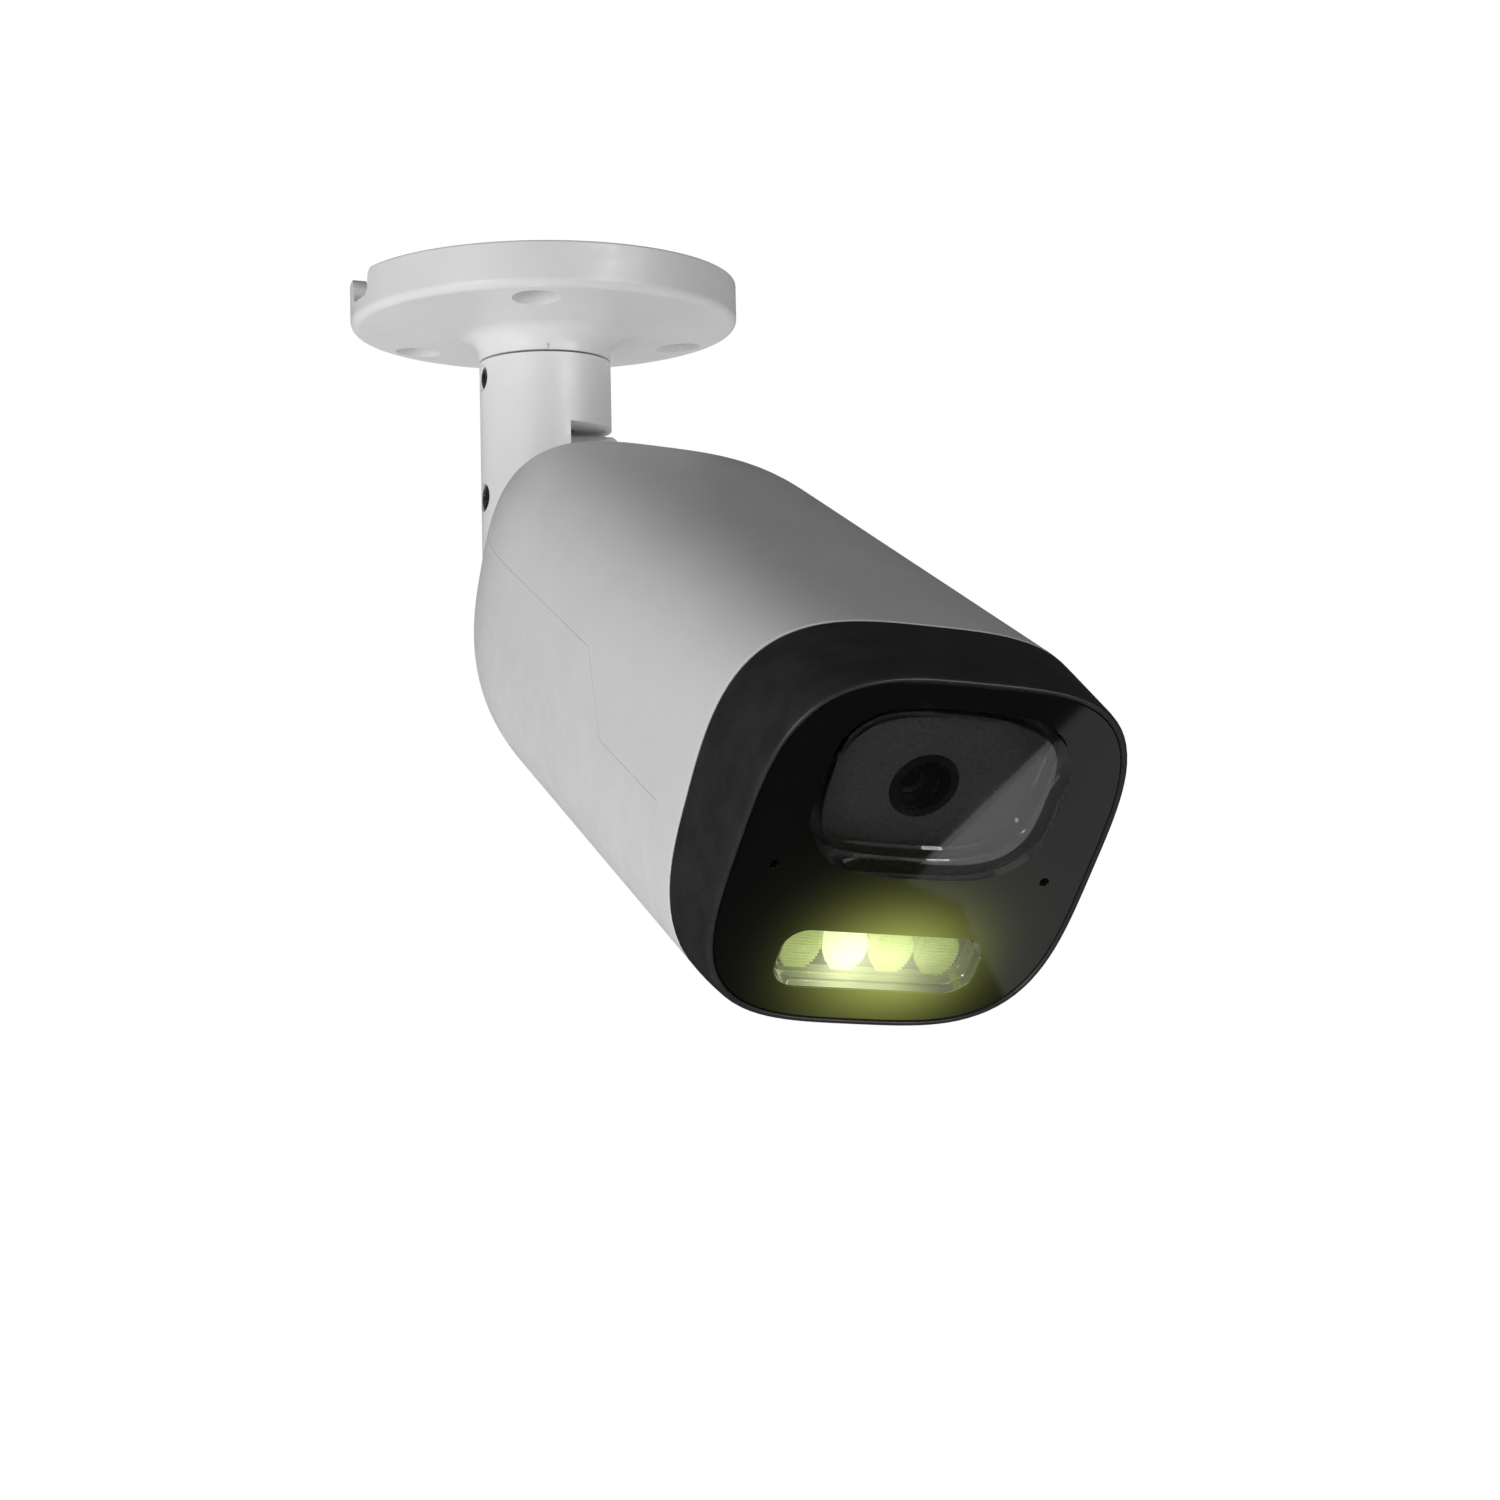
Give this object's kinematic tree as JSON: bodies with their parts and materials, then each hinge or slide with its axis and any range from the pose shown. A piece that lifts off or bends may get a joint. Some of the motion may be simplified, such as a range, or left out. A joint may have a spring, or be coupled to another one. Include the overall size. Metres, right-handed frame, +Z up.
{
  "type": "security camera",
  "caption": "Ceiling-mounted bullet security camera: squircle body with dark hood, lens window and white lights, on an arm that pans, tilts and rolls.",
  "frame": {"origin": "centre of the base's mounting face, at the centre of its three screw holes", "axes": "+Z up into the ceiling, the camera faces -Y and is pitched down at rest, +X along the tilt axis"},
  "size_m": [0.07, 0.209, 0.1325],
  "materials": {
    "white_enamel": "satin white enamel",
    "white_shell": "fine-textured satin white enamel",
    "hood_black": "satin black with fine grain",
    "gloss_black": "high gloss, dark tint",
    "window_clear": "clear, polished",
    "mask_grey": "fine matte texture",
    "carrier_black": "matte black",
    "light_clear": "clear, ribbed",
    "light_phosphor": "yellow phosphor",
    "light_board_white": "white solder mask",
    "rubber_black": "matte",
    "steel": "satin steel",
    "board_green": "green solder mask",
    "heat_sink_aluminium": "bare aluminium",
    "connector_cream": "moulded plastic",
    "ribbon_amber": "polyimide film",
    "lens_glass": "coated optical glass",
    "filter_glass": "dichroic filter glass",
    "pane_glass": "clear glass",
    "sensor_silicon": "dark silicon under glass"
  },
  "bodies": {
    "base": {"base_plate": "white_enamel"},
    "arm": {"arm": "white_enamel", "pan_set_screw": "steel", "tilt_screw": "steel"},
    "knuckle": {"knuckle": "white_enamel", "tilt_nut": "steel", "roll_set_screw": "steel"},
    "ir_slide": {"ir_slide": "carrier_black", "ir_filter": "filter_glass", "clear_pane": "pane_glass"},
    "reset_button": {"reset_button": "connector_cream"},
    "camera": {"roll_stub": "steel", "stub_screws": "steel", "cable_gland": "rubber_black", "housing": "white_shell", "cover": "white_shell", "cover_seal": "rubber_black", "cover_screws": "steel", "service_board": "board_green", "card_socket": "steel", "reset_switch": "carrier_black", "hood": "hood_black", "front_gasket": "rubber_black", "front_glass": "gloss_black", "lens_window": "window_clear", "mask_plate": "mask_grey", "lens_cone": "carrier_black", "light_window": "light_clear", "light_optics": "light_clear", "light_chips": "light_phosphor", "light_board": "light_board_white", "front_frame": "carrier_black", "frame_screws": "steel", "microphones": "steel", "lens_barrel": "carrier_black", "front_element": "lens_glass", "rear_element": "lens_glass", "lens_holder": "carrier_black", "image_sensor": "sensor_silicon", "sensor_board": "board_green", "sensor_ribbon": "ribbon_amber", "main_board": "board_green", "processor": "carrier_black", "heat_sink": "heat_sink_aluminium", "board_connectors": "connector_cream", "board_screws": "steel"}
  },
  "joints": [
    {"name": "pan", "type": "hinge", "parent": "base", "child": "arm", "pos_m": [0, 0, 0], "axis": [0, 0, 1], "range_deg": [-180, 180]},
    {"name": "tilt", "type": "hinge", "parent": "arm", "child": "knuckle", "pos_m": [0, 0, -0.039], "axis": [1, 0, 0], "range_deg": [-23, 67]},
    {"name": "roll", "type": "hinge", "parent": "knuckle", "child": "camera", "pos_m": [0, 0.00195, -0.0436], "axis": [0, 0.9205, 0.3907], "range_deg": [-180, 180]},
    {"name": "filter_slide", "type": "slide", "parent": "camera", "child": "ir_slide", "axis": [-0.9972, -0.0293, 0.069], "range_m": [0, 0.007]},
    {"name": "reset_press", "type": "slide", "parent": "camera", "child": "reset_button", "axis": [0.075, -0.3896, 0.9179], "range_m": [0, 0.0004], "stiffness_N_per_m": 2000, "springref_m": -0.0002}
  ]
}
